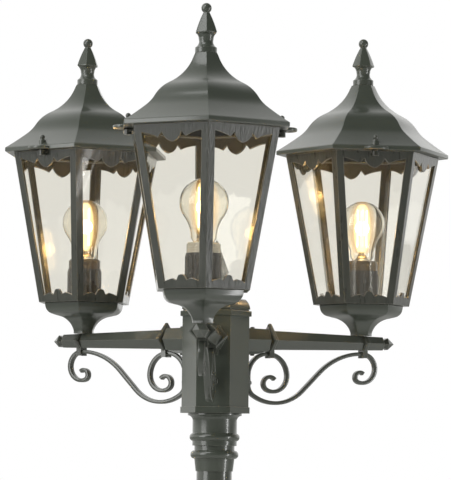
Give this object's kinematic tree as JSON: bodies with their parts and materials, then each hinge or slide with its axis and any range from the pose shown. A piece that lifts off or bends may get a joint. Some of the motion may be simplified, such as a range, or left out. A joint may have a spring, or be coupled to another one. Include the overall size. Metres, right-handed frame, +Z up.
{
  "type": "triple head lamp post",
  "caption": "Garden lamp post with hexagonal lanterns on scrolled arms around one hub, each with a lift-off roof and a screw-in bulb.",
  "frame": {"origin": "centre of the bolt circle, on the ground plane under the foot", "axes": "+Z up along the post; the front lantern's arm points along -Y, the left one's to 150 degrees from +X, the right one's to 30 degrees"},
  "size_m": [0.5867, 0.5534, 2.2],
  "materials": {
    "dark_paint": "satin, cast",
    "zinc_steel": "zinc plated",
    "holder_grey": "satin",
    "porcelain": "glazed",
    "cap_metal": "bright",
    "clear_glass": "clear",
    "lamp_glass": "clear mount with glowing rods",
    "terminal_plastic": "matte"
  },
  "bodies": {
    "post": {"hub": "dark_paint", "hub_cap": "dark_paint", "hub_screws": "dark_paint", "post_capital": "dark_paint", "upper_tube": "dark_paint", "knop": "dark_paint", "lower_column": "dark_paint", "foot": "dark_paint", "terminal_block": "terminal_plastic", "front_arm": "dark_paint", "front_arm_tip": "dark_paint", "front_inner_collar": "dark_paint", "front_outer_collar": "dark_paint", "front_scroll": "dark_paint", "front_cage": "dark_paint", "front_panes": "clear_glass", "front_base": "dark_paint", "front_stem": "zinc_steel", "front_lampholder": "holder_grey", "front_holder_insert": "porcelain", "left_arm": "dark_paint", "left_arm_tip": "dark_paint", "left_inner_collar": "dark_paint", "left_outer_collar": "dark_paint", "left_scroll": "dark_paint", "left_cage": "dark_paint", "left_panes": "clear_glass", "left_base": "dark_paint", "left_stem": "zinc_steel", "left_lampholder": "holder_grey", "left_holder_insert": "porcelain", "right_arm": "dark_paint", "right_arm_tip": "dark_paint", "right_inner_collar": "dark_paint", "right_outer_collar": "dark_paint", "right_scroll": "dark_paint", "right_cage": "dark_paint", "right_panes": "clear_glass", "right_base": "dark_paint", "right_stem": "zinc_steel", "right_lampholder": "holder_grey", "right_holder_insert": "porcelain"},
    "front_roof_body": {"front_roof": "dark_paint", "front_finial": "dark_paint", "front_roof_screws": "dark_paint"},
    "front_bulb_body": {"front_bulb_glass": "clear_glass", "front_bulb_cap": "cap_metal", "front_filament": "lamp_glass"},
    "left_roof_body": {"left_roof": "dark_paint", "left_finial": "dark_paint", "left_roof_screws": "dark_paint"},
    "left_bulb_body": {"left_bulb_glass": "clear_glass", "left_bulb_cap": "cap_metal", "left_filament": "lamp_glass"},
    "right_roof_body": {"right_roof": "dark_paint", "right_finial": "dark_paint", "right_roof_screws": "dark_paint"},
    "right_bulb_body": {"right_bulb_glass": "clear_glass", "right_bulb_cap": "cap_metal", "right_filament": "lamp_glass"}
  },
  "joints": [
    {"name": "front_roof_lift", "type": "slide", "parent": "post", "child": "front_roof_body", "axis": [0, 0, 1], "range_m": [0, 0.15]},
    {"name": "front_bulb_turn", "type": "hinge", "parent": "post", "child": "front_bulb_body", "pos_m": [0, -0.214, 1.944], "axis": [0, 0, 1], "continuous": true},
    {"name": "left_roof_lift", "type": "slide", "parent": "post", "child": "left_roof_body", "axis": [0, 0, 1], "range_m": [0, 0.15]},
    {"name": "left_bulb_turn", "type": "hinge", "parent": "post", "child": "left_bulb_body", "pos_m": [-0.18533, 0.107, 1.944], "axis": [0, 0, 1], "continuous": true},
    {"name": "right_roof_lift", "type": "slide", "parent": "post", "child": "right_roof_body", "axis": [0, 0, 1], "range_m": [0, 0.15]},
    {"name": "right_bulb_turn", "type": "hinge", "parent": "post", "child": "right_bulb_body", "pos_m": [0.18533, 0.107, 1.944], "axis": [0, 0, 1], "continuous": true}
  ]
}
